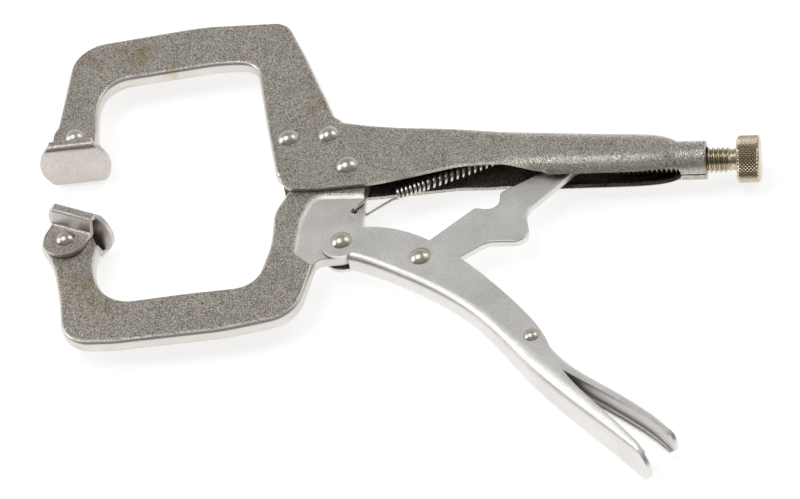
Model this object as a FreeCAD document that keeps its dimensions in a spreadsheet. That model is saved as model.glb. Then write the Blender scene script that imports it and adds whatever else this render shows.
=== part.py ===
import FreeCAD, Part
import math
import os

import Sketcher
from FreeCAD import Placement, Rotation, Vector

# Locking C-clamp pliers with swivel pads, lying on one side.
#
# Plan of the tool: X runs along the adjusting screw from the jaws to the knurled head, Y runs across the
# tool from the lower handle to the back of the fixed jaw, and Z is the tool's thickness.
# Outlines are given from the main pivot, on the tool's middle plane. The row frame has its origin at the
# centre of the underside of the whole tool, so every sub-part is placed by the same shift.

DOC = FreeCAD.newDocument("locking_pliers")

# Driving sizes in millimetres and degrees: alias, value, what it is.
SIZES = [
    ("pivot_x", -16.575, "main pivot in the row frame"),
    ("pivot_y", 31.74, "main pivot in the row frame"),
    ("mid_height", 11.0, "middle plane above the surface that the tool lies on"),
    ("jaw_thickness", 6.2, "both jaw plates"),
    ("jaw_edge_round", 1.8, "rounded edge of the jaw plates"),
    ("recess_depth", 0.8, "step on the moving jaw where the lower handle straddles it"),
    ("recess_slope", 70, "slope of the recess wall, from upright"),
    ("sheet", 1.6, "steel sheet of both handles"),
    ("handle_inner", 3.25, "half the clear width of both channels at the jaws"),
    ("fit_gap", 0.05, "radial clearance of a turning rivet"),
    ("screw_axis_y", 1.8, "adjusting screw axis above the main pivot"),
    ("screw_radius", 5.0, "outside radius of the thread"),
    ("screw_relief_radius", 4.3, "plain neck under the head"),
    ("screw_tip_x", 99.5, "inner end of the screw"),
    ("screw_neck_x", 147.6, "end of the thread"),
    ("screw_head_x", 150.1, "inner face of the knurled head"),
    ("screw_head_length", 8.7, "length of the knurled head"),
    ("screw_head_radius", 9.05, "radius over the knurl"),
    ("sleeve_start_x", 127.0, "where the channel closes into the sleeve"),
    ("sleeve_end_x", 138.6, "rear face of the sleeve"),
    ("sleeve_radius", 7.4, "outside radius of the sleeve"),
    ("bore_gap", 0.06, "radial clearance of the screw in the sleeve"),
    ("seam", 0.6, "gap where the rolled sleeve meets itself"),
    ("lip_gap", 8.2, "slot between the lips of the rear channel"),
    ("handle_pivot_x", 2.6, "lower handle on the moving jaw"),
    ("handle_pivot_y", -38.8, "lower handle on the moving jaw"),
    ("link_pivot_x", 33.9, "toggle link on the lower handle"),
    ("link_pivot_y", -47.5, "toggle link on the lower handle"),
    ("link_nose_x", 94.0, "centre of the link's rounded rear end"),
    ("link_nose_radius", 3.0, "rounded rear end of the link"),
    ("link_thickness", 3.4, "toggle link plate"),
    ("lever_pivot_x", 79.6, "release lever on the lower handle"),
    ("lever_pivot_y", -88.3, "release lever on the lower handle"),
    ("lever_sheet", 1.4, "sheet of the release lever"),
    ("main_shank_radius", 3.4, "main pivot rivet"),
    ("main_head_radius", 4.4, "main pivot rivet"),
    ("pin_shank_radius", 2.9, "handle, link and fixed jaw rivets"),
    ("pin_head_radius", 4.15, "handle and link rivets"),
    ("jaw_rivet_head_radius", 4.2, "fixed jaw rivets"),
    ("lever_shank_radius", 1.9, "release lever rivet"),
    ("lever_head_radius", 2.85, "release lever rivet"),
    ("pad_shank_radius", 2.6, "pad rivets"),
    ("pad_head_radius", 3.85, "pad rivets"),
    ("head_height", 2.0, "height of a rivet dome"),
    ("pad_radius", 14.0, "round swivel pad"),
    ("pad_sheet", 2.0, "sheet of the pads"),
    ("pad_reach", 11.7, "pad rivet to the clamping face"),
    ("pad_half_width", 11.0, "outside of the folded ears"),
    ("pad_ear_width", 17.0, "width of an ear"),
    ("fixed_pad_x", -112.8, "rivet of the fixed pad"),
    ("fixed_pad_y", 18.5, "rivet of the fixed pad"),
    ("fixed_pad_tilt", 6.8, "slope of the fixed pad's face at rest"),
    ("moving_pad_x", -106.6, "rivet of the moving pad"),
    ("moving_pad_y", -35.1, "rivet of the moving pad"),
    ("moving_pad_tilt", 161.0, "turn of the moving pad at rest"),
    ("spring_hole_x", 5.4, "hole for the spring in the moving jaw's ear"),
    ("spring_hole_y", -21.9, "hole for the spring in the moving jaw's ear"),
    ("spring_hole_radius", 1.5, "hole for the spring"),
    ("spring_wire_radius", 0.55, "spring wire"),
    ("spring_coil_radius", 1.95, "mean radius of the coil"),
    ("spring_coil_x", 20.0, "front end of the coil's axis"),
    ("spring_coil_y", -12.0, "front end of the coil's axis"),
    ("spring_angle", 24.2, "slope of the coil's axis"),
    ("spring_coil_length", 43.0, "length of the coil"),
    ("spring_turns", 21.0, "turns of the coil"),
]

sheet = DOC.addObject("Spreadsheet::Sheet", "Sizes")
for row, (alias, value, meaning) in enumerate(SIZES, start=1):
    sheet.set("A%d" % row, meaning)
    sheet.set("B%d" % row, str(value))
    sheet.setAlias("B%d" % row, alias)
DOC.recompute()


def size(alias):
    """The value of one cell of the sheet."""
    return float(sheet.get(alias))


# ---------------------------------------------------------------- outlines


def corner(before, here, after, radius):
    """Start, middle and end of the arc that rounds the corner at here."""
    to_before = (before - here).normalize()
    to_after = (after - here).normalize()
    half_angle = 0.5 * to_before.getAngle(to_after)
    back = radius / math.tan(half_angle)
    bisector = (to_before + to_after).normalize()
    centre = here + bisector * (radius / math.sin(half_angle))
    return here + to_before * back, centre - bisector * radius, here + to_after * back


def fitted_radii(places, radii):
    """The corner radii, made smaller where two roundings would meet on one side of the outline."""
    count = len(places)
    reach = []
    for i in range(count):
        to_before = places[i - 1] - places[i]
        to_after = places[(i + 1) % count] - places[i]
        reach.append(1 / math.tan(0.5 * to_before.getAngle(to_after)))
    fitted = list(radii)
    for i in range(count):
        j = (i + 1) % count
        room = places[i].distanceToPoint(places[j]) - 0.05
        used = fitted[i] * reach[i] + fitted[j] * reach[j]
        if used > room:
            fitted[i] *= room / used
            fitted[j] *= room / used
    return fitted


def outline(points):
    """A closed outline through (x, y, corner radius) points, as lines and tangent arcs in the XY plane."""
    places = [Vector(x, y, 0) for x, y, _ in points]
    radii = fitted_radii(places, [radius for _, _, radius in points])
    count = len(points)
    rounded = []
    for i, radius in enumerate(radii):
        if radius > 0:
            rounded.append(corner(places[i - 1], places[i], places[(i + 1) % count], radius))
        else:
            rounded.append((places[i], None, places[i]))
    pieces = []
    for i in range(count):
        start, middle, end = rounded[i]
        if middle is not None:
            pieces.append(Part.Arc(start, middle, end))
        following = rounded[(i + 1) % count][0]
        if end.distanceToPoint(following) > 1e-6:
            pieces.append(Part.LineSegment(end, following))
    return pieces


def wire(points, placement=None):
    """The outline as a wire, moved by placement."""
    made = Part.Wire([piece.toShape() for piece in outline(points)])
    if placement is not None:
        made.Placement = placement
    return made


def plate(points, low, high):
    """The outline as a flat solid from z = low to z = high."""
    face = Part.Face(wire(points))
    face.translate(Vector(0, 0, low))
    return face.extrude(Vector(0, 0, high - low))


def drill(x, y, radius, reach=20.0):
    """A round cutter along Z."""
    return Part.makeCylinder(radius, 2 * reach, Vector(x, y, -reach), Vector(0, 0, 1))


# ---------------------------------------------------------------- document objects


def place(thing, x=0.0, y=0.0, turn=0.0):
    """Puts a sub-part, drawn about its own origin, at (x, y) from the main pivot."""
    thing.Placement = Placement(Vector(x, y, 0), Rotation(Vector(0, 0, 1), turn))
    origin = Vector(size("pivot_x"), size("pivot_y"), size("mid_height"))
    thing.Placement = Placement(origin, Rotation()).multiply(thing.Placement)


def new_body(name):
    body = DOC.addObject("PartDesign::Body", name)
    body.Label = name
    return body


def origin_feature(body, role):
    for feature in body.Origin.OriginFeatures:
        if feature.Role == role:
            return feature


def new_sketch(body, name, geometry, plane="XY_Plane"):
    sketch = body.newObject("Sketcher::SketchObject", name)
    sketch.AttachmentSupport = [(origin_feature(body, plane), "")]
    sketch.MapMode = "FlatFace"
    sketch.addGeometry(geometry, False)
    return sketch


def add_pad(body, name, geometry, thickness):
    """A plate about the middle plane, as thick as the named cell says."""
    pad = body.newObject("PartDesign::Pad", name)
    pad.Profile = new_sketch(body, name + "_outline", geometry)
    pad.SideType = "Symmetric"
    pad.setExpression("Length", "Sizes." + thickness)
    DOC.recompute()
    return pad


def add_holes(body, name, holes, gap="0"):
    """Round holes through the whole body: (x, y, cell with the shank radius)."""
    normal = Vector(0, 0, 1)
    circles = [Part.Circle(Vector(x, y, 0), normal, size(cell)) for x, y, cell in holes]
    sketch = new_sketch(body, name + "_circles", circles)
    for i, (x, y, cell) in enumerate(holes):
        sketch.addConstraint(Sketcher.Constraint("Radius", i, size(cell)))
        sketch.setExpression("Constraints[%d]" % i, "Sizes.%s + %s" % (cell, gap))
    before = body.Shape.Volume
    pocket = body.newObject("PartDesign::Pocket", name)
    pocket.Profile = sketch
    pocket.Type = "ThroughAll"
    pocket.SideType = "Symmetric"
    DOC.recompute()
    if body.Shape.Volume >= before:
        raise RuntimeError(name + " cut nothing")
    return pocket


def edges_at(shape, heights, inside=None):
    """Names of the edges that lie in one of the planes z = height."""
    names = []
    for number, edge in enumerate(shape.Edges, start=1):
        box = edge.BoundBox
        flat = any(abs(box.ZMin - z) < 1e-4 and abs(box.ZMax - z) < 1e-4 for z in heights)
        if flat and (inside is None or inside(edge)):
            names.append("Edge%d" % number)
    return names


def add_fillet(body, name, base, names, radius):
    fillet = body.newObject("PartDesign::Fillet", name)
    fillet.Base = (base, names)
    fillet.setExpression("Radius", "Sizes." + radius)
    DOC.recompute()
    return fillet


def new_feature(name, shape):
    """A sub-part whose shape is made with Part's own functions."""
    feature = DOC.addObject("Part::Feature", name)
    feature.Label = name
    feature.Shape = shape
    return feature


# ---------------------------------------------------------------- jaws

HALF_JAW = size("jaw_thickness") / 2


def make_fixed_jaw():
    """C-shaped plate; its tang is riveted between the flanks of the upper handle."""
    body = new_body("fixed_jaw")
    points = [
        (-121.6, 9.0, 8.7),
        (-122.4, 70.4, 15),
        (-70, 80.4, 90),
        (-34.8, 81.2, 9),
        (-24.5, 61.5, 40),
        (-8.4, 27.6, 5),
        (-5.2, 25.6, 0.6),
        (-5.2, 19.6, 1),
        (4.6, 18.4, 1.5),
        (5.0, 12.2, 2),
        (-8.6, 11.4, 6),
        (-21.5, -2.4, 4),
        (-27.5, -5.2, 3),
        (-35.4, 23.0, 60),
        (-44.4, 57.6, 9),
        (-58.0, 58.6, 60),
        (-104.0, 50.4, 15),
        (-107.2, 38.0, 30),
        (-102.6, 10.0, 8.7),
    ]
    pad = add_pad(body, "fixed_jaw_plate", outline(points), "jaw_thickness")
    edges = edges_at(pad.Shape, (HALF_JAW, -HALF_JAW))
    add_fillet(body, "fixed_jaw_rounding", pad, edges, "jaw_edge_round")
    add_holes(
        body,
        "fixed_jaw_holes",
        [(-25.4, 15.0, "pin_shank_radius"), (-9.4, 16.4, "pin_shank_radius")],
    )
    add_holes(
        body,
        "fixed_jaw_pad_hole",
        [(size("fixed_pad_x"), size("fixed_pad_y"), "pad_shank_radius")],
        "Sizes.fit_gap",
    )
    place(body)
    return body


def make_moving_jaw():
    """C-shaped plate that turns on the main pivot, thinned where the lower handle straddles it."""
    body = new_body("moving_jaw")
    pivot_radius = 10.0
    points = [
        (-pivot_radius, pivot_radius, 9.6),
        (-12.0, 2.2, 5),
        (-21.0, -9.0, 2.5),
        (-26.3, -22.0, 14),
        (-25.2, -38.0, 40),
        (-28.6, -58.4, 11),
        (-55.0, -61.5, 60),
        (-85.0, -66.0, 15),
        (-94.2, -49.0, 30),
        (-93.4, -39.0, 10),
        (-98.3, -29.1, 8.7),
        (-113.3, -23.9, 9),
        (-117.6, -36.0, 7),
        (-109.3, -48.0, 40),
        (-103.8, -66.0, 40),
        (-99.2, -85.8, 13),
        (-80.0, -85.6, 60),
        (-38.0, -80.4, 90),
        (-11.0, -73.6, 15),
        (-6.9, -46.0, 4),
        (8.0, -45.6, 6.4),
        (9.3, -30.0, 12),
        (8.6, -11.0, 4),
        (pivot_radius, -4.0, 4),
        (pivot_radius, pivot_radius, 9.6),
    ]
    pad = add_pad(body, "moving_jaw_plate", outline(points), "jaw_thickness")
    edges = edges_at(pad.Shape, (HALF_JAW, -HALF_JAW))
    rounding = add_fillet(body, "moving_jaw_rounding", pad, edges, "jaw_edge_round")

    recess = [
        (-12.8, -13.4, 7),
        (-16.6, -27.0, 20),
        (-16.4, -43.5, 3),
        (-1.0, -56.0, 0),
        (20.0, -56.0, 0),
        (20.0, -13.4, 0),
    ]
    for side, name in ((1, "near"), (-1, "far")):
        sketch = new_sketch(body, name + "_recess_outline", outline(recess))
        sketch.AttachmentOffset = Placement(Vector(0, 0, side * HALF_JAW), Rotation())
        before = body.Shape.Volume
        pocket = body.newObject("PartDesign::Pocket", name + "_recess")
        pocket.Profile = sketch
        pocket.setExpression("Length", "Sizes.recess_depth")
        pocket.setExpression("TaperAngle", "-Sizes.recess_slope")
        pocket.Reversed = side < 0
        DOC.recompute()
        if body.Shape.Volume >= before:
            raise RuntimeError(name + "_recess cut nothing")
    add_holes(
        body,
        "moving_jaw_pivot_holes",
        [
            (0, 0, "main_shank_radius"),
            (size("handle_pivot_x"), size("handle_pivot_y"), "pin_shank_radius"),
            (size("moving_pad_x"), size("moving_pad_y"), "pad_shank_radius"),
        ],
        "Sizes.fit_gap",
    )
    add_holes(
        body,
        "moving_jaw_spring_hole",
        [(size("spring_hole_x"), size("spring_hole_y"), "spring_hole_radius")],
    )
    place(body)
    return body


# ---------------------------------------------------------------- toggle link


def make_toggle_link():
    """Plate from the lower handle to the tip of the screw, with a notch above and a lobe below."""
    body = new_body("toggle_link")
    x, y = size("link_pivot_x"), size("link_pivot_y")
    nose_x, nose_y = size("link_nose_x"), size("screw_axis_y")
    boss = 6.5
    nose = size("link_nose_radius")
    slope = math.radians(44.4)
    along = Vector(math.cos(slope), math.sin(slope), 0)
    across = Vector(-math.sin(slope), math.cos(slope), 0)
    upper = Vector(x, y, 0) - along * boss + across * boss
    lower = Vector(x, y, 0) - along * boss - across * boss
    points = [
        (upper.x, upper.y, boss - 0.1),
        (51.6, -21.1, 1.0),
        (61.3, -22.4, 4.5),
        (60.6, -13.6, 2.5),
        (85.0, 2.4, 12),
        (nose_x + nose, nose_y + nose, nose - 0.1),
        (nose_x + nose, nose_y - nose, nose - 0.1),
        (89.4, -2.6, 4),
        (71.2, -23.4, 8),
        (74.8, -38.6, 5.5),
        (58.0, -38.3, 9),
        (lower.x, lower.y, boss - 0.1),
    ]
    pad = add_pad(body, "toggle_link_plate", outline(points), "link_thickness")
    half = size("link_thickness") / 2
    fillet = body.newObject("PartDesign::Fillet", "toggle_link_rounding")
    fillet.Base = (pad, edges_at(pad.Shape, (half, -half)))
    fillet.Radius = 0.7
    DOC.recompute()
    add_holes(body, "toggle_link_hole", [(x, y, "pin_shank_radius")], "Sizes.fit_gap")
    place(body)
    return body


# ---------------------------------------------------------------- upper handle

# Sections of the upper handle's channel: x, top, bottom, half width, top radius, bottom radius.
# The bottom is cut to the channel's lower edge afterwards.
UPPER_SECTIONS = [
    (-40, 30.0, -20, 4.85, 2.3, 2.3),
    (6, 21.3, -20, 4.85, 2.3, 2.3),
    (16, 19.8, -20, 5.3, 2.6, 2.4),
    (30, 18.0, -18, 6.4, 3.0, 3.0),
    (46, 16.2, -11, 7.7, 4.4, 4.4),
    (60, 15.2, -8.0, 8.3, 6.4, 6.2),
    (76, 14.9, -8.1, 8.3, 7.8, 7.6),
    (98, 13.6, -8.0, 8.3, 7.9, 7.7),
    (114, 12.8, -7.7, 8.25, 7.9, 7.7),
    (121, 11.9, -7.1, 8.1, 7.8, 7.6),
    (127, 9.3, -5.7, 7.45, 7.3, 7.3),
]


def channel_section(station, inset):
    """Closed rounded section of the upper handle in the YZ plane, inset by the sheet's thickness."""
    x, top, bottom, half_width, top_radius, bottom_radius = station
    w = half_width - inset
    corners = [
        (-w, bottom + inset, bottom_radius - inset),
        (w, bottom + inset, bottom_radius - inset),
        (w, top - inset, top_radius - inset),
        (-w, top - inset, top_radius - inset),
    ]
    turned = Rotation(Vector(0, 0, 1), Vector(0, 1, 0), Vector(1, 0, 0), "XYZ")
    return wire(corners, Placement(Vector(x, 0, 0), turned))


def make_upper_handle():
    """Folded channel: flat flanks hold the jaws, then it widens, its lips close round the screw,
    and its rear end is rolled into the threaded sleeve."""
    thick = size("sheet")

    def channel(inset):
        sections = [channel_section(s, inset) for s in UPPER_SECTIONS]
        front = Part.makeLoft(sections[:2], True, True)
        rear = Part.makeLoft(sections[1:], True)
        return front.fuse(rear)

    outer = channel(0)
    inner = channel(thick)

    # Side view of the sheet: front edge along the jaw, lower edge rising to the lips.
    side = [
        (-33.6, 23.4, 0.6),
        (-5.4, 22.5, 0.3),
        (-4.6, 30.0, 0),
        (140, 30.0, 0),
        (140, -12.0, 0),
        (82.0, -12.0, 0),
        (78.0, -6.1, 5),
        (62.0, -3.5, 14),
        (44.0, -4.0, 30),
        (14.0, -9.6, 60),
        (-10.0, -12.4, 30),
        (-23.6, -12.2, 6.5),
    ]
    inner_half = size("handle_inner")
    jaw_slot = Part.makeBox(36.0, 20.0, 2 * inner_half, Vector(-40.8, 16.0, -inner_half))
    solid = outer.common(plate(side, -15, 15)).cut(inner).cut(jaw_slot)

    # Sleeve with a plain bore on the screw's axis, and the seam below it.
    axis_y = size("screw_axis_y")
    start, end = size("sleeve_start_x"), size("sleeve_end_x")
    along = Vector(1, 0, 0)
    sleeve = Part.makeCylinder(size("sleeve_radius"), end - start + 1.0, Vector(start - 1.0, axis_y, 0), along)
    rim = [e for e in sleeve.Edges if abs(e.BoundBox.XMin - end) < 1e-3 and abs(e.BoundBox.XMax - end) < 1e-3]
    sleeve = sleeve.makeFillet(0.7, rim)
    bore_radius = size("screw_radius") + size("bore_gap")
    bore = Part.makeCylinder(bore_radius, 20, Vector(start - 5, axis_y, 0), along)
    seam = size("seam")
    seam_cut = Part.makeBox(end - start + 6, 12, seam, Vector(start - 4, axis_y - 12, -seam / 2))
    lip = size("lip_gap")
    lip_cut = Part.makeBox(start - 60, 14, lip, Vector(58, -16, -lip / 2))
    lip_round = Part.makeCylinder(lip / 2, 14, Vector(start - 2, -16, 0), Vector(0, 1, 0))
    solid = solid.fuse(sleeve).cut(bore).cut(seam_cut).cut(lip_cut).cut(lip_round)

    # Tab punched down from the top of the channel, with the hole that holds the spring's rear hook.
    tab_x, tab_y = spring_anchor()
    tab = [
        (tab_x - 3.4, 15.0, 0),
        (tab_x + 3.4, 15.0, 0),
        (tab_x + 3.0, tab_y - 2.8, 2.4),
        (tab_x - 3.0, tab_y - 2.8, 2.4),
    ]
    tab_solid = plate(tab, -0.8, 0.8).common(outer)
    solid = solid.fuse(tab_solid).cut(drill(tab_x, tab_y, 1.1, 1.5))

    holes = [
        (-25.4, 15.0, size("pin_shank_radius")),
        (-9.4, 16.4, size("pin_shank_radius")),
        (0, 0, size("main_shank_radius")),
    ]
    for x, y, radius in holes:
        solid = solid.cut(drill(x, y, radius))
    feature = new_feature("upper_handle", solid.removeSplitter())
    place(feature)
    return feature


# ---------------------------------------------------------------- lower handle

# Sections of the lower handle's channel, from the jaw to the tail:
# x and y of the web's underside, slope, half width, fold radius, height of the flanks.
LOWER_SECTIONS = [
    (5.9, -47.2, -20, 4.85, 3.0, 15.8),
    (16.5, -51.2, -23, 4.85, 3.0, 18.6),
    (27.2, -56.5, -28, 4.85, 3.0, 19.2),
    (38.8, -63.0, -32, 4.95, 3.1, 17.6),
    (49.9, -70.6, -38, 5.3, 3.4, 15.6),
    (58.5, -78.2, -45, 5.9, 3.9, 14.4),
    (66.4, -87.0, -50, 6.7, 4.6, 14.0),
    (75.0, -97.6, -50, 7.6, 5.2, 12.6),
    (83.6, -107.2, -46, 8.2, 5.6, 8.8),
    (91.6, -115.0, -43.5, 8.3, 5.2, 6.4),
    (99.7, -122.4, -42, 8.3, 4.6, 5.3),
    (108.2, -129.9, -41, 8.3, 3.9, 4.3),
    (114.9, -135.9, -42, 8.3, 3.1, 3.4),
    (119.4, -140.1, -43.5, 8.3, 2.5, 2.7),
    (124.6, -145.3, -45.5, 8.3, 1.9, 2.1),
]


def spine_placement(x, y, slope):
    """Maps a section's (across, up) to the tool, square to a spine with that slope."""
    angle = math.radians(slope)
    up = Vector(-math.sin(angle), math.cos(angle), 0)
    return Placement(Vector(x, y, 0), Rotation(Vector(0, 0, 1), up, Vector(), "XYZ"))


def trough_section(station, inset, rise=0.0):
    """U section of the lower handle, closed across its open side."""
    x, y, slope, half_width, radius, height = station
    w = half_width - inset
    corners = [
        (-w, inset, radius - inset),
        (w, inset, radius - inset),
        (w, height + rise, 0),
        (-w, height + rise, 0),
    ]
    return wire(corners, spine_placement(x, y, slope))


def round_off(x, y, slope, half_width):
    """Cutter that leaves a half-round end on a strip that ends at (x, y) with that slope."""
    angle = math.radians(slope)
    along = Vector(math.cos(angle), math.sin(angle), 0)
    up = Vector(-math.sin(angle), math.cos(angle), 0)
    centre = Vector(x, y, 0) - along * half_width - up * 15
    block = Part.makeBox(half_width + 2, 30, 2 * half_width + 4)
    block.Placement = Placement(
        centre - Vector(0, 0, half_width + 2), Rotation(along, up, Vector(0, 0, 1), "XYZ")
    )
    return block.cut(Part.makeCylinder(half_width - 0.02, 30, centre, up))


def make_lower_handle():
    """Folded channel, open towards the upper handle: two rounded cheeks straddle the moving jaw, and the
    flanks sink towards a broad rounded tail."""
    thick = size("sheet")
    outer = Part.makeLoft([trough_section(s, 0) for s in LOWER_SECTIONS], True)
    inner = Part.makeLoft([trough_section(s, thick, 4.0) for s in LOWER_SECTIONS], True)
    solid = outer.cut(inner)

    # Cheeks round the pivot, one on each side of the jaw.
    x, y = size("handle_pivot_x"), size("handle_pivot_y")
    cheek_radius = 7.9
    proud = 0.02
    for side in (1, -1):
        middle = side * (4.85 - thick / 2)
        low, high = middle - thick / 2 - proud, middle + thick / 2 + proud
        nose = Part.makeCylinder(cheek_radius, high - low, Vector(x, y, low), Vector(0, 0, 1))
        bridge = plate([(2.6, -46.5, 0), (9.0, -44.6, 0), (14.2, -33.2, 0), (5.0, -31.3, 0)], low, high)
        solid = solid.fuse(nose.fuse(bridge).removeSplitter())

    # Rounded end of the tail, seen square to the web.
    end_x, end_y, slope, half_width = LOWER_SECTIONS[-1][:4]
    solid = solid.cut(round_off(end_x, end_y, slope, half_width))

    holes = [
        (x, y, size("pin_shank_radius")),
        (size("link_pivot_x"), size("link_pivot_y"), size("pin_shank_radius")),
        (size("lever_pivot_x"), size("lever_pivot_y"), size("lever_shank_radius")),
    ]
    for hole_x, hole_y, radius in holes:
        solid = solid.cut(drill(hole_x, hole_y, radius))
    feature = new_feature("lower_handle", solid.removeSplitter())
    place(feature)
    return feature


# ---------------------------------------------------------------- release lever

# Sections of the release lever from its nose to its tail: x and y of the crest, slope, half width,
# fold radius, depth of the flanks below the crest.
LEVER_SECTIONS = [
    (60.5, -63.6, -44, 3.1, 2.0, 4.6),
    (68.0, -70.9, -44, 3.6, 2.3, 6.4),
    (75.0, -77.8, -45, 4.4, 2.6, 8.2),
    (80.6, -83.6, -48, 4.9, 2.8, 8.4),
    (84.8, -88.8, -53, 5.2, 2.8, 7.4),
    (89.0, -94.3, -50, 5.6, 2.6, 5.6),
    (94.0, -99.8, -44, 6.0, 2.4, 4.2),
    (100.6, -105.2, -38, 6.3, 2.3, 3.6),
    (108.0, -110.3, -35, 6.4, 2.3, 3.4),
    (116.0, -115.9, -36, 6.4, 2.3, 3.3),
    (123.0, -121.3, -39, 6.4, 2.2, 3.1),
    (128.8, -126.6, -45, 6.4, 2.0, 2.8),
    (134.4, -133.0, -51, 6.4, 1.6, 2.2),
]


def make_release_lever():
    """Inverted trough that rocks on its rivet inside the lower handle; its tail stands clear of the handle."""
    thick = size("lever_sheet")

    def section(station, inset, rise):
        x, y, slope, half_width, radius, depth = station
        w = half_width - inset
        corners = [
            (-w, inset, radius - inset),
            (w, inset, radius - inset),
            (w, depth + rise, 0),
            (-w, depth + rise, 0),
        ]
        angle = math.radians(slope)
        down = Vector(math.sin(angle), -math.cos(angle), 0)
        frame = Rotation(Vector(0, 0, 1), down, Vector(), "XYZ")
        return wire(corners, Placement(Vector(x, y, 0), frame))

    outer = Part.makeLoft([section(s, 0, 0) for s in LEVER_SECTIONS], True)
    inner = Part.makeLoft([section(s, thick, 3.0) for s in LEVER_SECTIONS], True)
    solid = outer.cut(inner)

    # Rounded tail, seen square to the crest.
    x, y, slope, half_width = LEVER_SECTIONS[-1][:4]
    solid = solid.cut(round_off(x, y, slope, half_width))

    radius = size("lever_shank_radius") + size("fit_gap")
    solid = solid.cut(drill(size("lever_pivot_x"), size("lever_pivot_y"), radius))
    feature = new_feature("release_lever", solid.removeSplitter())
    place(feature)
    return feature


# ---------------------------------------------------------------- turned parts


def turned(name, profile, placement):
    """A revolved PartDesign body from a half profile in (radius, height) about the sketch's upright axis."""
    body = new_body(name)
    sketch = new_sketch(body, name + "_profile", profile, "XZ_Plane")
    revolution = body.newObject("PartDesign::Revolution", name + "_turned")
    revolution.Profile = sketch
    revolution.ReferenceAxis = (sketch, ["V_Axis"])
    revolution.Angle = 360
    DOC.recompute()
    body.Placement = placement
    return body


def make_rivet(name, x, y, grip, shank, head):
    """A rivet with a dome on each side: grip is half the stack that it holds."""
    height = size("head_height") * head / size("pin_head_radius")
    dome = (head**2 + height**2) / (2 * height)
    top = grip + height

    def dome_arc(side):
        centre = Vector(0, side * (top - dome), 0)
        edge = math.asin(head / dome)
        first = Vector(0, side * top, 0)
        middle = centre + Vector(dome * math.sin(edge / 2), side * dome * math.cos(edge / 2), 0)
        return Part.Arc(first, middle, Vector(head, side * grip, 0))

    corners = [
        Vector(head, grip, 0),
        Vector(shank, grip, 0),
        Vector(shank, -grip, 0),
        Vector(head, -grip, 0),
    ]
    profile = [dome_arc(1)]
    for first, second in zip(corners, corners[1:]):
        profile.append(Part.LineSegment(first, second))
    profile.append(dome_arc(-1))
    profile.append(Part.LineSegment(Vector(0, -top, 0), Vector(0, top, 0)))
    body = turned(name, profile, Placement())
    place(body, x, y)
    return body


def make_adjusting_screw():
    """Screw that closes the channel's rear: thread, plain neck and knurled head."""
    radius = size("screw_radius")
    neck = size("screw_relief_radius")
    head = size("screw_head_radius")
    tip, neck_x = size("screw_tip_x"), size("screw_neck_x")
    head_x = size("screw_head_x")
    end = head_x + size("screw_head_length")
    points = [
        (0, tip),
        (3.2, tip),
        (radius, tip + 1.4),
        (radius, neck_x - 0.6),
        (neck, neck_x),
        (neck, head_x),
        (head - 0.6, head_x),
        (head, head_x + 0.6),
        (head, end - 0.6),
        (head - 0.6, end),
        (0, end),
    ]
    corners = [Vector(r, x, 0) for r, x in points]
    profile = [Part.LineSegment(a, b) for a, b in zip(corners, corners[1:] + corners[:1])]
    body = turned("adjusting_screw", profile, Placement())
    origin = Vector(size("pivot_x"), size("pivot_y") + size("screw_axis_y"), size("mid_height"))
    body.Placement = Placement(origin, Rotation(Vector(0, 1, 0), 90))
    return body


# ---------------------------------------------------------------- swivel pads


def make_pad(name, x, y, turn):
    """Round disc with two ears folded up against the jaw. Drawn with its rivet at the origin and its
    clamping face square to -Y."""
    thick = size("pad_sheet")
    reach = size("pad_reach")
    half = size("pad_half_width")
    ear = size("pad_ear_width") / 2
    inner = HALF_JAW + 0.15
    fold = 2.5

    # Side view (z, y) of the folded strip: disc, fold, jog inwards, ear flat against the jaw.
    outside = [
        (-half, -reach, fold),
        (half, -reach, fold),
        (half, -reach + 4.6, 1.0),
        (inner + thick, -reach + 6.6, 1.4),
        (inner + thick, ear + 1, 0),
        (inner, ear + 1, 0),
        (inner, -reach + 5.0, 0.6),
        (half - thick, -reach + 3.1, 0.4),
        (half - thick, -reach + thick, fold - thick),
        (-half + thick, -reach + thick, fold - thick),
        (-half + thick, -reach + 3.1, 0.4),
        (-inner, -reach + 5.0, 0.6),
        (-inner, ear + 1, 0),
        (-inner - thick, ear + 1, 0),
        (-inner - thick, -reach + 6.6, 1.4),
        (-half, -reach + 4.6, 1.0),
    ]
    section = wire(outside, Placement(Vector(-20, 0, 0), Rotation(Vector(0, 0, 1), Vector(0, 1, 0), Vector(), "XYZ")))
    strip = Part.Face(section).extrude(Vector(40, 0, 0))
    disc = Part.makeCylinder(size("pad_radius"), 30, Vector(0, -15, 0), Vector(0, 1, 0))
    front = [
        (-14, -reach - 1, 0),
        (14, -reach - 1, 0),
        (14, -reach + thick, 0),
        (ear, -reach + thick, 1.5),
        (ear, ear, ear - 0.1),
        (-ear, ear, ear - 0.1),
        (-ear, -reach + thick, 1.5),
        (-14, -reach + thick, 0),
    ]
    solid = strip.common(disc).common(plate(front, -15, 15))
    radius = size("pad_shank_radius")
    solid = solid.cut(drill(0, 0, radius))
    rim = []
    for edge in solid.Edges:
        box = edge.BoundBox
        if abs(box.YMin + reach) < 1e-3 and abs(box.YMax + reach) < 1e-3 and box.XLength > 1:
            if abs(abs(box.ZMax) - abs(box.ZMin)) < 1e-3 and box.ZLength > 5:
                rim.append(edge)
    if rim:
        solid = solid.makeFillet(0.6, rim)
    feature = new_feature(name, solid)
    place(feature, x, y, turn)
    return feature


# ---------------------------------------------------------------- spring


def spring_point(distance, off=0.0, z=0.0):
    """A point near the coil's axis, that far behind the coil's front end."""
    angle = math.radians(size("spring_angle"))
    along = Vector(math.cos(angle), math.sin(angle), 0)
    across = Vector(-math.sin(angle), math.cos(angle), 0)
    front = Vector(size("spring_coil_x"), size("spring_coil_y"), 0)
    return front + along * distance + across * off + Vector(0, 0, z)


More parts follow.
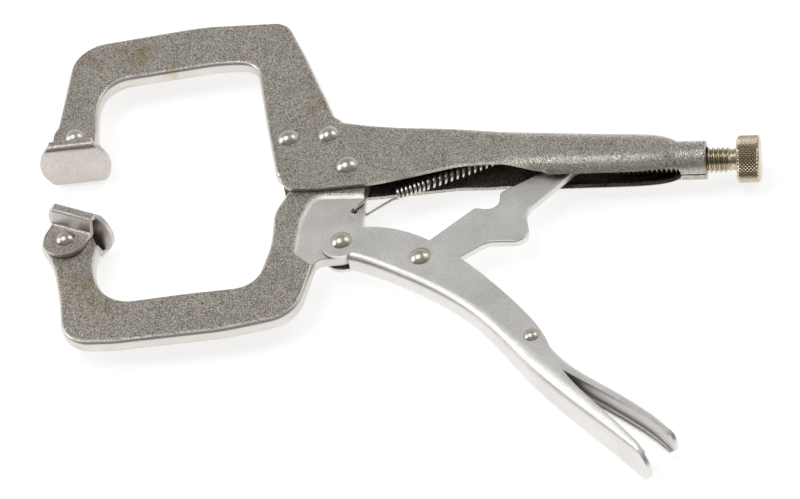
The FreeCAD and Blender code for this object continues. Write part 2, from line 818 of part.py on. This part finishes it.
def spring_anchor():
    """Centre of the hole that holds the spring's rear hook."""
    point = spring_point(size("spring_coil_length") + 9.0, -1.8)
    return point.x, point.y


def round_bar(points, radius, bend):
    """Wire along straight runs joined by tangent arcs."""
    edges = []
    start = points[0]
    for i in range(1, len(points) - 1):
        first, middle, last = corner(points[i - 1], points[i], points[i + 1], bend)
        edges.append(Part.LineSegment(start, first).toShape())
        edges.append(Part.Arc(first, middle, last).toShape())
        start = last
    edges.append(Part.LineSegment(start, points[-1]).toShape())
    path = Part.Wire(edges)
    heading = (points[1] - points[0]).normalize()
    ring = Part.Wire(Part.Circle(points[0], heading, radius).toShape())
    return path.makePipeShell([ring], True, True)


def make_tension_spring():
    """Extension spring from the ear of the moving jaw to the tab in the upper handle."""
    wire_radius = size("spring_wire_radius")
    coil_radius = size("spring_coil_radius")
    length = size("spring_coil_length")
    turns = size("spring_turns")

    helix = Part.makeHelix(length / turns, length, coil_radius)
    ring_centre = Vector(coil_radius, 0, 0)
    ring = Part.Wire(Part.Circle(ring_centre, Vector(0, 1, 0), wire_radius).toShape())
    coil = Part.Wire(helix).makePipeShell([ring], True, True)
    angle = size("spring_angle")
    upright = Rotation(Vector(0, 0, 1), angle).multiply(Rotation(Vector(0, 1, 0), 90))
    coil.Placement = Placement(spring_point(0), upright)

    face = HALF_JAW - size("recess_depth") + wire_radius + 0.25
    hole = Vector(size("spring_hole_x"), size("spring_hole_y"), 0)
    front = [
        spring_point(0.2, 0, -coil_radius),
        hole + Vector(0, 0, -face),
        hole + Vector(0, 0, face),
        hole + Vector(4.6, 5.4, face),
    ]
    rear_x, rear_y = spring_anchor()
    anchor = Vector(rear_x, rear_y, 0)
    leg = wire_radius + 1.1
    rear = [
        spring_point(length - 0.2, 0, -coil_radius),
        spring_point(length + 2.6, -0.4, -leg),
        anchor + Vector(0, 0, -leg),
        anchor + Vector(0, 0, leg),
        anchor + Vector(-3.6, 0.2, leg),
    ]
    hook = round_bar(front, wire_radius, 0.75)
    tail = round_bar(rear, wire_radius, 0.75)
    solid = coil.fuse([hook, tail])
    feature = new_feature("tension_spring", solid)
    place(feature)
    return feature


# ---------------------------------------------------------------- the whole tool

GAP = 0.05
SHEET_GRIP = size("handle_inner") + size("sheet") + GAP
LEVER_GRIP = 7.5

parts = [
    make_fixed_jaw(),
    make_moving_jaw(),
    make_toggle_link(),
    make_upper_handle(),
    make_lower_handle(),
    make_release_lever(),
    make_adjusting_screw(),
    make_pad("fixed_pad", size("fixed_pad_x"), size("fixed_pad_y"), size("fixed_pad_tilt")),
    make_pad("moving_pad", size("moving_pad_x"), size("moving_pad_y"), size("moving_pad_tilt")),
    make_tension_spring(),
]

PAD_GRIP = HALF_JAW + 0.15 + size("pad_sheet") + GAP
RIVETS = [
    ("fixed_jaw_front_rivet", -25.4, 15.0, SHEET_GRIP, "pin_shank_radius", "jaw_rivet_head_radius"),
    ("fixed_jaw_rear_rivet", -9.4, 16.4, SHEET_GRIP, "pin_shank_radius", "jaw_rivet_head_radius"),
    ("main_pivot_rivet", 0, 0, SHEET_GRIP, "main_shank_radius", "main_head_radius"),
    (
        "handle_pivot_rivet",
        size("handle_pivot_x"),
        size("handle_pivot_y"),
        SHEET_GRIP,
        "pin_shank_radius",
        "pin_head_radius",
    ),
    (
        "link_rivet",
        size("link_pivot_x"),
        size("link_pivot_y"),
        SHEET_GRIP,
        "pin_shank_radius",
        "pin_head_radius",
    ),
    (
        "release_lever_rivet",
        size("lever_pivot_x"),
        size("lever_pivot_y"),
        LEVER_GRIP,
        "lever_shank_radius",
        "lever_head_radius",
    ),
    (
        "fixed_pad_rivet",
        size("fixed_pad_x"),
        size("fixed_pad_y"),
        PAD_GRIP,
        "pad_shank_radius",
        "pad_head_radius",
    ),
    (
        "moving_pad_rivet",
        size("moving_pad_x"),
        size("moving_pad_y"),
        PAD_GRIP,
        "pad_shank_radius",
        "pad_head_radius",
    ),
]
for name, x, y, grip, shank, head in RIVETS:
    parts.append(make_rivet(name, x, y, grip, size(shank), size(head)))

DOC.recompute()
for thing in DOC.Objects:
    if "Invalid" in thing.State or "Error" in thing.State:
        raise RuntimeError("%s failed: %s" % (thing.Label, thing.State))

os.makedirs("parts", exist_ok=True)
whole = FreeCAD.BoundBox()
for part in parts:
    shape = part.Shape
    if shape.isNull() or not shape.isValid():
        raise RuntimeError(part.Label + " is not a valid shape")
    whole.add(shape.BoundBox)
    print("%-24s solids %d  volume %9.1f" % (part.Label, len(shape.Solids), shape.Volume))
for part in parts:
    part.Shape.exportStep(os.path.join("parts", part.Label + ".step"))
print("box", whole)
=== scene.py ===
import math

import bmesh
import bpy
from mathutils import Matrix, Vector


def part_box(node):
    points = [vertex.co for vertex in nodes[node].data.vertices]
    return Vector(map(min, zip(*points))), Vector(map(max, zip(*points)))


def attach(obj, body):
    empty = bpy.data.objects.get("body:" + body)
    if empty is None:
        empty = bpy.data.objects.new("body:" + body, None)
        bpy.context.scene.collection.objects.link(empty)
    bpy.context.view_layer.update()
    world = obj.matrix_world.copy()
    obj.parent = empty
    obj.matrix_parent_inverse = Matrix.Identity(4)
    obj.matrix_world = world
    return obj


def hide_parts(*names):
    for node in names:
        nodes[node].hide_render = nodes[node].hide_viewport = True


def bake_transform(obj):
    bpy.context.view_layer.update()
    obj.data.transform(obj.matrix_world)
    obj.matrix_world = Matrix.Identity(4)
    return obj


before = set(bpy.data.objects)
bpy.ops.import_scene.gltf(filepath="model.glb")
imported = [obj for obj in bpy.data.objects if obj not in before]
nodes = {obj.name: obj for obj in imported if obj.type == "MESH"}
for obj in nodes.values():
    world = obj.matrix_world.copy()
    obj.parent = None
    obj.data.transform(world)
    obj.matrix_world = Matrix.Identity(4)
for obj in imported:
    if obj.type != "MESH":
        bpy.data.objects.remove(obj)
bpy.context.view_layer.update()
MM = 0.001


def centre(node):
    low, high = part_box(node)
    return (Vector(low) + Vector(high)) / 2


PIVOT = centre("main_pivot_rivet")


def at(x, y, z=0.0):
    """A point given in millimetres from the main pivot, on the tool's middle plane."""
    return PIVOT + Vector((x, y, z)) * MM


# ------------------------------------------------------------------ materials


def new_material(name):
    material = bpy.data.materials.new(name)
    material.use_nodes = True
    tree = material.node_tree
    tree.nodes.clear()
    output = tree.nodes.new("ShaderNodeOutputMaterial")
    shader = tree.nodes.new("ShaderNodeBsdfPrincipled")
    tree.links.new(shader.outputs[0], output.inputs[0])
    return material, tree, shader


def node(tree, kind, **values):
    """A shader node. A name that starts with _ is one of its settings, any other one of its inputs."""
    made = tree.nodes.new(kind)
    for key, value in values.items():
        if key.startswith("_"):
            setattr(made, key[1:], value)
        else:
            made.inputs[key].default_value = value
    return made


def ramp(tree, source, stops):
    made = tree.nodes.new("ShaderNodeValToRGB")
    elements = made.color_ramp.elements
    while len(elements) < len(stops):
        elements.new(0.5)
    for element, (position, colour) in zip(elements, stops):
        element.position = position
        element.color = (*colour, 1.0)
    tree.links.new(source, made.inputs[0])
    return made.outputs[0]


def mix(tree, factor, a, b, blend="MIX"):
    made = tree.nodes.new("ShaderNodeMix")
    made.data_type = "RGBA"
    made.blend_type = blend
    for value, socket in ((factor, made.inputs[0]), (a, made.inputs[6]), (b, made.inputs[7])):
        if isinstance(value, bpy.types.NodeSocket):
            tree.links.new(value, socket)
        elif isinstance(value, (int, float)):
            socket.default_value = value
        else:
            socket.default_value = (*value, 1.0)
    return made.outputs[2]


def grey(value):
    return (value, value, value)


def fade(tree, source, start, end, low=0.0, high=1.0, kind="SMOOTHSTEP"):
    """Goes from low to high while the source goes from start to end."""
    made = node(tree, "ShaderNodeMapRange", _interpolation_type=kind)
    made.inputs["From Min"].default_value = start
    made.inputs["From Max"].default_value = end
    made.inputs["To Min"].default_value = low
    made.inputs["To Max"].default_value = high
    tree.links.new(source, made.inputs["Value"])
    return made.outputs["Result"]


def size_of(tree, source):
    """A number without its sign."""
    made = node(tree, "ShaderNodeMath", _operation="ABSOLUTE")
    tree.links.new(source, made.inputs[0])
    return made.outputs[0]


def part_of(tree, vector, axis):
    """One component of a vector."""
    made = tree.nodes.new("ShaderNodeSeparateXYZ")
    tree.links.new(vector, made.inputs[0])
    return made.outputs[axis]


def occlusion(tree, reach_mm, own_only, low, high):
    """1 in the open and 0 in a corner or a hollow narrower than the reach."""
    made = node(tree, "ShaderNodeAmbientOcclusion", Distance=reach_mm * MM, _samples=5, _only_local=own_only)
    return fade(tree, made.outputs["AO"], low, high)


def flat_faces(tree):
    """1 on the faces that lie flat, 0 on the edges and walls between them."""
    normal = tree.nodes.new("ShaderNodeTexCoord").outputs["Normal"]
    return fade(tree, size_of(tree, part_of(tree, normal, "Z")), 0.72, 0.97)


def near_middle(tree, coordinates, distance_mm):
    """1 on the faces nearer than that to the tool's middle plane, 0 further out."""
    level = node(tree, "ShaderNodeMath", _operation="SUBTRACT")
    tree.links.new(part_of(tree, coordinates, "Z"), level.inputs[0])
    level.inputs[1].default_value = PIVOT.z
    start = (distance_mm + 0.2) * MM
    return fade(tree, size_of(tree, level.outputs[0]), start, distance_mm * MM, kind="LINEAR")


def noise(tree, coordinates, scale, detail, roughness):
    made = node(tree, "ShaderNodeTexNoise", Scale=scale, Detail=detail, Roughness=roughness)
    tree.links.new(coordinates, made.inputs["Vector"])
    return made.outputs["Fac"]


# painted shade: the brown for the crevices and the seams between parts, with a grime tint
CREVICE_SHADE_AND_GRIME = (0.17, 0.115, 0.065)
# painted shade: the near-black for the insides of narrow hollows
HOLLOW_SHADE = (0.020, 0.016, 0.013)
STAIN = (0.80, 0.70, 0.50)
# painted highlight for the jaw's recess face, which also stands for a smoother machined finish
RECESS_FINISH_AND_HIGHLIGHT = (0.97, 0.95, 0.91)
BLOTCH_SCALE = 70.0
STAIN_SCALE = 38.0
CREVICE_MM = 1.3
HOLLOW_ROUGHNESS = 0.75


def metal(
    name, light, dark, side, rough, grain_mm, grain_depth, side_grain=0.35, hollow=0.0, stain=0.0, recess=0.0
):
    """Plated steel: a frosted grain on the flat faces, smoother edges, brown grime and painted shade in the
    crevices.
    light and dark are the grain's colours and side the colour of the edges. rough is the range of the
    roughness, grain_depth the height of the grain in millimetres, side_grain its share on the edges,
    hollow how narrow a space has to be to be painted dark inside as shade, stain how strong the yellow
    stains are, and recess how near the middle plane a face has to lie to be smooth and painted bright,
    partly a machined finish and partly a painted highlight."""
    material, tree, shader = new_material(name)
    coordinates = tree.nodes.new("ShaderNodeTexCoord").outputs["Object"]
    flat = flat_faces(tree)

    grain = noise(tree, coordinates, 1.0 / (grain_mm * MM), 2.0, 0.7)
    cells = node(tree, "ShaderNodeTexVoronoi", Scale=1.25 / (grain_mm * MM))
    tree.links.new(coordinates, cells.inputs["Vector"])
    blotches = noise(tree, coordinates, BLOTCH_SCALE, 4.0, 0.55)

    frost = mix(tree, 0.55, grain, cells.outputs["Color"])
    middle = tuple(0.45 * a + 0.55 * b for a, b in zip(light, dark))
    speckle = ramp(tree, frost, [(0.32, dark), (0.50, middle), (0.70, light)])
    # painted highlight: faces near the middle plane, in the jaw's recess, are painted near-white, partly a
    # smoother machined finish
    if recess:
        share = node(tree, "ShaderNodeMath", _operation="MULTIPLY")
        tree.links.new(near_middle(tree, coordinates, recess), share.inputs[0])
        share.inputs[1].default_value = 0.8
        speckle = mix(tree, share.outputs[0], speckle, RECESS_FINISH_AND_HIGHLIGHT)
    colour = mix(tree, flat, mix(tree, side_grain, side, speckle), speckle)
    cloud = ramp(tree, blotches, [(0.3, grey(0.88)), (0.7, grey(1.0))])
    colour = mix(tree, 1.0, colour, cloud, "MULTIPLY")
    if stain:
        spread = noise(tree, coordinates, STAIN_SCALE, 3.0, 0.6)
        where = ramp(tree, spread, [(0.60, grey(0.0)), (0.72, grey(stain))])
        colour = mix(tree, where, colour, STAIN, "MULTIPLY")
    # painted shade: the crevices and the seams between parts are darkened brown, with a grime tint
    colour = mix(tree, occlusion(tree, CREVICE_MM, False, 0.42, 0.80), CREVICE_SHADE_AND_GRIME, colour)
    rough_value = ramp(tree, blotches, [(0.25, grey(rough[0])), (0.75, grey(rough[1]))])
    # painted shade: spaces narrower than the hollow reach, inside the channels and the coil, turn near-black
    # and rough
    if hollow:
        open_air = occlusion(tree, hollow, True, 0.22, 0.62)
        colour = mix(tree, open_air, HOLLOW_SHADE, colour)
        rough_value = mix(tree, open_air, grey(HOLLOW_ROUGHNESS), rough_value)
    tree.links.new(colour, shader.inputs["Base Color"])
    tree.links.new(rough_value, shader.inputs["Roughness"])

    bump = node(tree, "ShaderNodeBump", Distance=grain_depth * MM)
    strength = fade(tree, flat, 0.0, 1.0, side_grain, 1.0, "LINEAR")
    tree.links.new(strength, bump.inputs["Strength"])
    tree.links.new(frost, bump.inputs["Height"])
    tree.links.new(bump.outputs[0], shader.inputs["Normal"])
    shader.inputs["Metallic"].default_value = 1.0
    return material


JAW = metal(
    "jaw_plating", (1.0, 0.93, 0.82), (0.07, 0.06, 0.045), (0.72, 0.68, 0.63), (0.26, 0.36), 0.29, 0.20,
    stain=0.8, recess=2.7,
)
CHANNEL = metal(
    "channel_plating", (1.0, 0.94, 0.84), (0.09, 0.078, 0.06), (0.72, 0.68, 0.63), (0.24, 0.34), 0.28, 0.17,
    side_grain=0.8, hollow=16.0,
)
SATIN = metal(
    "satin_plating", (1.0, 0.99, 0.97), (0.72, 0.70, 0.66), (0.84, 0.81, 0.78), (0.28, 0.40), 0.26, 0.10,
    side_grain=0.5, hollow=16.0,
)
PAD = metal(
    "pad_plating", (0.86, 0.80, 0.74), (0.24, 0.21, 0.18), (0.74, 0.69, 0.67), (0.28, 0.38), 0.34, 0.11
)
RIVET = metal(
    "rivet_plating", (0.68, 0.64, 0.57), (0.58, 0.54, 0.47), (0.62, 0.57, 0.50), (0.22, 0.30), 0.9, 0.010
)
SCREW = metal(
    "screw_plating", (0.72, 0.65, 0.51), (0.46, 0.39, 0.27), (0.72, 0.64, 0.49), (0.20, 0.30), 0.5, 0.02
)
WIRE = metal(
    "spring_wire", (0.82, 0.79, 0.74), (0.56, 0.53, 0.48), (0.80, 0.77, 0.71), (0.18, 0.26), 0.6, 0.01,
    hollow=4.5,
)

FINISH = {
    "fixed_jaw": JAW,
    "moving_jaw": JAW,
    "upper_handle": CHANNEL,
    "lower_handle": SATIN,
    "toggle_link": SATIN,
    "release_lever": SATIN,
    "fixed_pad": PAD,
    "moving_pad": PAD,
}

for name, thing in nodes.items():
    material = FINISH.get(name, RIVET)
    thing.data.materials.clear()
    thing.data.materials.append(material)

# ------------------------------------------------------------------ adjusting screw


def ring(made, x, radius, count):
    """Vertices of one circle about the screw's axis."""
    angles = [2 * math.pi * k / count for k in range(count)]
    return [made.verts.new((x, radius * math.cos(a), radius * math.sin(a))) for a in angles]


def band(made, first, second):
    """Faces between two circles of as many vertices."""
    count = len(first)
    for k in range(count):
        made.faces.new((first[k], second[k], second[(k + 1) % count], first[(k + 1) % count]))


def thread(made, start, end, core, crest, pitch, count):
    """Helical thread between two places on the axis. It fades in and out over one turn, and the circles at
    its two ends are returned, so that the shank goes on from there."""
    steps = round((end - start) / pitch - 1) * count
    profile = ((0.0, core), (0.16, core), (0.46, crest), (0.58, crest))
    rows = []
    for i in range(steps + 1):
        fade = min(1.0, i / count, (steps - i) / count)
        angle = 2 * math.pi * i / count
        row = []
        for part, radius in profile:
            height = core + (radius - core) * fade
            x = start + pitch * (i / count + part)
            row.append(made.verts.new((x, height * math.cos(angle), height * math.sin(angle))))
        rows.append(row)
    last = []
    for i in range(steps + 1 - count, steps + 1):
        angle = 2 * math.pi * i / count
        x = start + pitch * (i / count + 1)
        last.append(made.verts.new((x, core * math.cos(angle), core * math.sin(angle))))

    def next_turn(i):
        return rows[i + count][0] if i + count <= steps else last[i + count - steps - 1]

    for i in range(steps):
        here = rows[i] + [next_turn(i)]
        there = rows[i + 1] + [next_turn(i + 1)]
        for k in range(len(profile)):
            made.faces.new((here[k], here[k + 1], there[k + 1], there[k]))

    front = ring(made, start - 0.5 * pitch, core, count)
    for k in range(count - 1):
        made.faces.new((front[k], rows[k][0], rows[k + 1][0], front[k + 1]))
    made.faces.new([front[count - 1], rows[count - 1][0], rows[count][0]] + rows[0][::-1] + [front[0]])
    rear = ring(made, start + pitch * (steps / count + 1.5), core, count)
    for k in range(count - 1):
        made.faces.new((last[k], rear[(k + 1) % count], rear[(k + 2) % count], last[k + 1]))
    made.faces.new([last[count - 1], rear[0], rear[1], last[0]] + rows[steps][::-1])
    return front, rear


def knurled_head(made, start, end, radius, depth, around, along):
    """Head with a diamond knurl: low where the grooves cross, high in the middle of each diamond."""
    edge = 0.4
    rows = [ring(made, start, radius - depth - edge, around)]
    step = (end - start - 2 * edge) / along
    angles = [2 * math.pi * k / around for k in range(around)]
    for i in range(along + 1):
        x = start + edge + i * step
        row = []
        for k, angle in enumerate(angles):
            at_edge = i in (0, along)
            height = radius - depth if (i + k) % 2 == 0 or at_edge else radius
            row.append(made.verts.new((x, height * math.cos(angle), height * math.sin(angle))))
        rows.append(row)
    rows.append(ring(made, end, radius - depth - edge, around))
    band(made, rows[0], rows[1])
    band(made, rows[-2], rows[-1])
    for i in range(1, len(rows) - 2):
        for k in range(around):
            low, high = rows[i], rows[i + 1]
            a, b = low[k], high[k]
            c, d = high[(k + 1) % around], low[(k + 1) % around]
            if (i - 1 + k) % 2 == 0:
                made.faces.new((a, b, c))
                made.faces.new((a, c, d))
            else:
                made.faces.new((a, b, d))
                made.faces.new((b, c, d))
    made.faces.new(rows[0])
    made.faces.new(rows[-1])


def finish_mesh(made, name, material, sharp_degrees):
    bmesh.ops.recalc_face_normals(made, faces=made.faces)
    for face in made.faces:
        face.smooth = True
    for edge in made.edges:
        edge.smooth = edge.calc_face_angle(0.0) < math.radians(sharp_degrees)
    mesh = bpy.data.meshes.new(name)
    made.to_mesh(mesh)
    made.free()
    mesh.materials.append(material)
    piece = bpy.data.objects.new(name, mesh)
    bpy.context.scene.collection.objects.link(piece)
    return piece


def make_screw():
    """Threaded shank and knurled head of the adjusting screw, in the place of its plain CAD solid."""
    low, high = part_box("adjusting_screw")
    length = (high.x - low.x) / MM
    head_radius = (high.z - low.z) / 2 / MM
    head_length = 8.7
    head = length - head_length
    neck = head - 1.0
    core, crest, pitch, neck_radius = 4.05, 5.0, 1.83, 4.3
    knurl_depth, diamonds_around, diamonds_along = 0.5, 76, 12

    made = bmesh.new()
    count = 40
    tip = ring(made, 0.0, 3.2, count)
    made.faces.new(tip)
    chamfer = ring(made, 0.9, core, count)
    band(made, tip, chamfer)
    front, rear = thread(made, 1.9, neck - 0.9, core, crest, pitch, count)
    band(made, chamfer, front)
    shoulder = ring(made, neck, neck_radius, count)
    band(made, rear[1:] + rear[:1], shoulder[1:] + shoulder[:1])
    inside = ring(made, head + 1.0, neck_radius, count)
    band(made, shoulder, inside)
    made.faces.new(inside)
    knurled_head(made, head, length, head_radius, knurl_depth, diamonds_around, diamonds_along)

    axis = Vector((low.x, (low.y + high.y) / 2, (low.z + high.z) / 2))
    made.transform(Matrix.Translation(axis) @ Matrix.Scale(MM, 4))
    piece = finish_mesh(made, "screw_thread_and_knurl", SCREW, 32)
    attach(piece, "adjusting_screw")
    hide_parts("adjusting_screw")


# ------------------------------------------------------------------ tension spring


def make_spring():
    """Open coil with a hook at each end, from the moving jaw's ear to the tab in the upper handle."""
    wire, coil = 0.55, 1.95
    coil_start = Vector((20.0, -12.0, 0.0))
    slope = math.radians(24.2)
    along = Vector((math.cos(slope), math.sin(slope), 0))
    across = Vector((-math.sin(slope), math.cos(slope), 0))
    length, close_turns, close_pitch, open_turns = 43.0, 7, 1.72, 13
    open_pitch = (length - close_turns * close_pitch) / open_turns
    hole = Vector((5.4, -21.9, 0.0))
    jaw_face = 3.1
    anchor = coil_start + along * (length + 9.0) - across * 1.8

    def beside(distance, off, z):
        return coil_start + along * distance + across * off + Vector((0, 0, z))

    route = [
        hole + Vector((3.4, 4.1, jaw_face + 0.2)),
        hole + Vector((1.6, 2.0, jaw_face + 0.1)),
        hole + Vector((0.3, 0.4, jaw_face)),
        hole + Vector((0.0, 0.0, jaw_face - 1.6)),
        hole + Vector((0.0, 0.0, -jaw_face + 1.6)),
        hole + Vector((0.4, 0.3, -jaw_face)),
        hole + Vector((2.6, 1.8, -jaw_face)),
        hole.lerp(beside(0.0, 0.0, -coil), 0.75) + Vector((0, 0, -0.4)),
    ]
    per_turn = 16
    for i in range(per_turn * (close_turns + open_turns) + 1):
        turn = i / per_turn
        close = min(turn, close_turns)
        distance = close * close_pitch + (turn - close) * open_pitch
        angle = 2 * math.pi * turn
        route.append(beside(distance, -coil * math.sin(angle), -coil * math.cos(angle)))
    leg = wire + 1.1
    route += [
        beside(length + 2.6, -0.4, -leg),
        anchor + Vector((-0.6, 0.0, -leg)),
        anchor + Vector((0.0, 0.0, -leg + 0.6)),
        anchor + Vector((0.0, 0.0, leg - 0.6)),
        anchor + Vector((-0.6, 0.0, leg)),
        anchor + Vector((-3.6, 0.2, leg)),
    ]

    curve = bpy.data.curves.new("spring_path", "CURVE")
    curve.dimensions = "3D"
    curve.bevel_depth = wire * MM
    curve.bevel_resolution = 2
    curve.resolution_u = 2
    curve.use_fill_caps = True
    spline = curve.splines.new("NURBS")
    spline.points.add(len(route) - 1)
    for point, place in zip(spline.points, route):
        point.co = (*at(*place), 1.0)
    spline.order_u = 3
    spline.use_endpoint_u = True
    drawn = bpy.data.objects.new("spring_path", curve)
    bpy.context.scene.collection.objects.link(drawn)
    bpy.context.view_layer.update()
    mesh = bpy.data.meshes.new_from_object(drawn)
    bpy.data.objects.remove(drawn)
    for face in mesh.polygons:
        face.use_smooth = True
    mesh.materials.clear()
    mesh.materials.append(WIRE)
    piece = bpy.data.objects.new("spring_coil_and_hooks", mesh)
    bpy.context.scene.collection.objects.link(piece)
    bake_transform(piece)
    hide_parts("tension_spring")


make_screw()
make_spring()

# ------------------------------------------------------------------ floor, light and camera


FLOOR_GLOW = 0.72
FLOOR_COLOUR = 0.5
GLOW_CENTRE = (0, 0.35, 0)
GLOW_NEAR, GLOW_FAR = 0.62, 0.95


def make_floor():
    """Plain white table top that glows near the object, so that it stays white, and darkens far away."""
    mesh = bpy.data.meshes.new("floor")
    made = bmesh.new()
    bmesh.ops.create_grid(made, x_segments=1, y_segments=1, size=3.0)
    made.to_mesh(mesh)
    made.free()
    floor = bpy.data.objects.new("floor", mesh)
    floor.location = (0, 0, -0.0005)
    bpy.context.scene.collection.objects.link(floor)
    material, tree, shader = new_material("floor_paint")
    coordinates = tree.nodes.new("ShaderNodeTexCoord").outputs["Object"]
    distance = node(tree, "ShaderNodeVectorMath", _operation="DISTANCE")
    distance.inputs[1].default_value = GLOW_CENTRE
    tree.links.new(coordinates, distance.inputs[0])
    away = distance.outputs["Value"]
    shades = (("Emission Color", FLOOR_GLOW, 0.0), ("Base Color", FLOOR_COLOUR, FLOOR_COLOUR / 2))
    for socket, near, far in shades:
        tree.links.new(fade(tree, away, GLOW_NEAR, GLOW_FAR, near, far), shader.inputs[socket])
    shader.inputs["Roughness"].default_value = 0.9
    shader.inputs["Specular IOR Level"].default_value = 0.1
    shader.inputs["Emission Strength"].default_value = 1.0
    floor.data.materials.append(material)


def toward(tree, direction, axis, near, far, strength):
    """A soft glow in the sky around one direction, full inside near and gone outside far, in degrees."""
    facing = node(tree, "ShaderNodeVectorMath", _operation="DOT_PRODUCT")
    facing.inputs[1].default_value = Vector(axis).normalized()
    tree.links.new(direction, facing.inputs[0])
    rim, core = math.cos(math.radians(far)), math.cos(math.radians(near))
    return fade(tree, facing.outputs["Value"], rim, core, 0.0, strength)


# the sky's brightness at four heights, from the horizon to straight up
SKY_BEHIND = [(0.0, grey(0.90)), (0.3, grey(0.70)), (0.72, grey(0.42)), (1.0, grey(0.38))]
SKY_IN_FRONT = [(0.0, grey(0.05)), (0.2, grey(0.08)), (0.7, grey(0.30)), (1.0, grey(0.38))]
# direction, full inside and gone outside in degrees, strength
SOFTBOXES = [
    ((-0.31, 0.03, 0.95), 9, 19, 3.0),
    ((-0.86, -0.02, 0.50), 10, 20, 2.6),
    ((0.55, 0.38, 0.74), 8, 18, 2.0),
]


def make_world():
    """Soft studio: a white sweep behind, the dark room in front, and three broad softboxes."""
    world = bpy.data.worlds.new("studio")
    world.use_nodes = True
    tree = world.node_tree
    background = tree.nodes["Background"]
    direction = tree.nodes.new("ShaderNodeTexCoord").outputs["Generated"]
    height = part_of(tree, direction, "Z")
    side = fade(tree, part_of(tree, direction, "Y"), -0.35, 0.35)
    sky = mix(tree, side, ramp(tree, height, SKY_IN_FRONT), ramp(tree, height, SKY_BEHIND))
    for axis, near, far, strength in SOFTBOXES:
        sky = mix(tree, 1.0, sky, toward(tree, direction, axis, near, far, strength), "ADD")
    tree.links.new(sky, background.inputs[0])
    background.inputs[1].default_value = 1.0
    bpy.context.scene.world = world


make_floor()
make_world()
bpy.context.scene.view_settings.view_transform = "Standard"

CAMERA_AIM = at(24.6, -39.9)
CAMERA_DISTANCE = 1.1321
CAMERA_RIGHT = Vector((0.98158, 0.10872, -0.15710))
CAMERA_UP = Vector((0.02, 0.75931, 0.65043))
CAMERA_BACK = Vector((0.19, -0.64159, 0.74314))

camera_data = bpy.data.cameras.new("camera")
camera_data.sensor_width = 36.0
camera_data.lens = 135.0
camera_data.clip_end = 20.0
camera = bpy.data.objects.new("camera", camera_data)
turn = Matrix((CAMERA_RIGHT, CAMERA_UP, CAMERA_BACK)).transposed().to_4x4()
camera.matrix_world = Matrix.Translation(CAMERA_AIM + CAMERA_BACK * CAMERA_DISTANCE) @ turn
bpy.context.scene.collection.objects.link(camera)
bpy.context.scene.camera = camera
